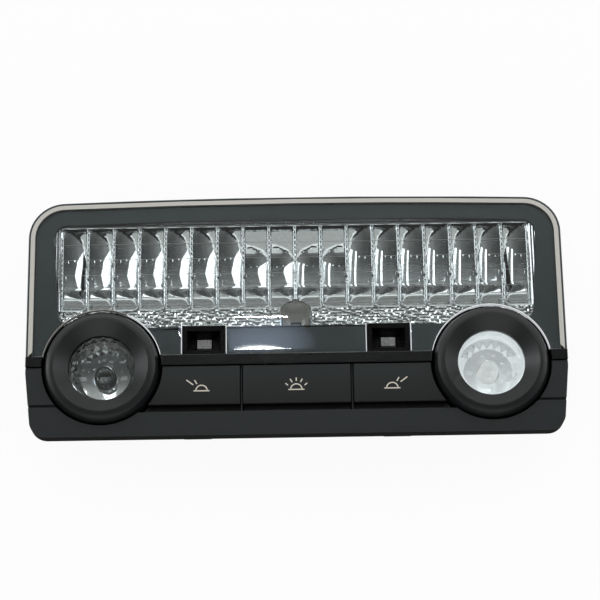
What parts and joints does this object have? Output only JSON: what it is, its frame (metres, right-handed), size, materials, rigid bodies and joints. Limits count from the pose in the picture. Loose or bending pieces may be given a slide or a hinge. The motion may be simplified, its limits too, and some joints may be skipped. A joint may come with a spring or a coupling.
{
  "type": "car dome light",
  "caption": "Roof lamp with a clear main window over a fluted reflector, swivelling round reading lamps at both sides and a row of push buttons.",
  "frame": {"origin": "bottom centre of the bounding box, with the lamp on its back and its face up", "axes": "+X to the right along the face, +Y to the top edge of the face, +Z out of the face"},
  "size_m": [0.19, 0.0876, 0.031],
  "materials": {
    "housing_plastic": "moulded, fine grain",
    "satin_black": "satin, soft-touch moulding",
    "button_black": "satin moulding with printed sign",
    "clear_cover": "clear, polished",
    "silvered_plastic": "aluminised, mirror bright",
    "bulb_glass": "clear, polished",
    "filament_metal": "bare wire",
    "holder_plastic": "heat resistant moulding",
    "guide_clear": "clear, frosted end",
    "board": "green solder mask",
    "led_body": "phosphor and white case",
    "steel": "zinc plated",
    "contact_metal": "plated",
    "dark_plastic": "moulded",
    "plunger_plastic": "natural moulding"
  },
  "bodies": {
    "root": {"rear_housing": "housing_plastic", "front_frame": "satin_black", "lens_panel": "clear_cover", "main_reflector": "silvered_plastic", "main_bulb": "bulb_glass", "main_filament": "filament_metal", "main_bulb_holder": "holder_plastic", "left_guide_holder": "dark_plastic", "right_guide_holder": "dark_plastic", "left_light_guide": "guide_clear", "right_light_guide": "guide_clear", "left_led": "led_body", "right_led": "led_body", "circuit_board": "board", "board_screws": "steel", "connector_header": "dark_plastic", "connector_pins": "contact_metal", "left_switch": "dark_plastic", "centre_switch": "dark_plastic", "right_switch": "dark_plastic", "left_spring_clip": "steel", "right_spring_clip": "steel"},
    "left_button": {"left_button": "button_black", "left_plunger": "plunger_plastic"},
    "centre_button": {"centre_button": "button_black", "centre_plunger": "plunger_plastic"},
    "right_button": {"right_button": "button_black", "right_plunger": "plunger_plastic"},
    "left_gimbal": {"left_gimbal_ring": "dark_plastic"},
    "left_spot": {"left_spot_bezel": "satin_black", "left_spot_lens": "clear_cover", "left_spot_reflector": "silvered_plastic", "left_spot_bulb": "bulb_glass", "left_spot_filament": "filament_metal", "left_spot_holder": "holder_plastic"},
    "right_gimbal": {"right_gimbal_ring": "dark_plastic"},
    "right_spot": {"right_spot_bezel": "satin_black", "right_spot_lens": "clear_cover", "right_spot_reflector": "silvered_plastic", "right_spot_bulb": "bulb_glass", "right_spot_filament": "filament_metal", "right_spot_holder": "holder_plastic"}
  },
  "joints": [
    {"name": "left_button_press", "type": "slide", "parent": "root", "child": "left_button", "axis": [0, 0, -1], "range_m": [0, 0.0012], "stiffness_N_per_m": 2000},
    {"name": "centre_button_press", "type": "slide", "parent": "root", "child": "centre_button", "axis": [0, 0, -1], "range_m": [0, 0.0012], "stiffness_N_per_m": 2000},
    {"name": "right_button_press", "type": "slide", "parent": "root", "child": "right_button", "axis": [0, 0, -1], "range_m": [0, 0.0012], "stiffness_N_per_m": 2000},
    {"name": "left_gimbal_swing", "type": "hinge", "parent": "root", "child": "left_gimbal", "pos_m": [-0.0684, -0.0188, 0.022], "axis": [0, 1, 0], "range_deg": [-10, 10]},
    {"name": "left_spot_tilt", "type": "hinge", "parent": "left_gimbal", "child": "left_spot", "pos_m": [-0.0684, -0.0188, 0.022], "axis": [1, 0, 0], "range_deg": [-10, 10]},
    {"name": "right_gimbal_swing", "type": "hinge", "parent": "root", "child": "right_gimbal", "pos_m": [0.0684, -0.0188, 0.022], "axis": [0, 1, 0], "range_deg": [-10, 10]},
    {"name": "right_spot_tilt", "type": "hinge", "parent": "right_gimbal", "child": "right_spot", "pos_m": [0.0684, -0.0188, 0.022], "axis": [1, 0, 0], "range_deg": [-10, 10]}
  ]
}
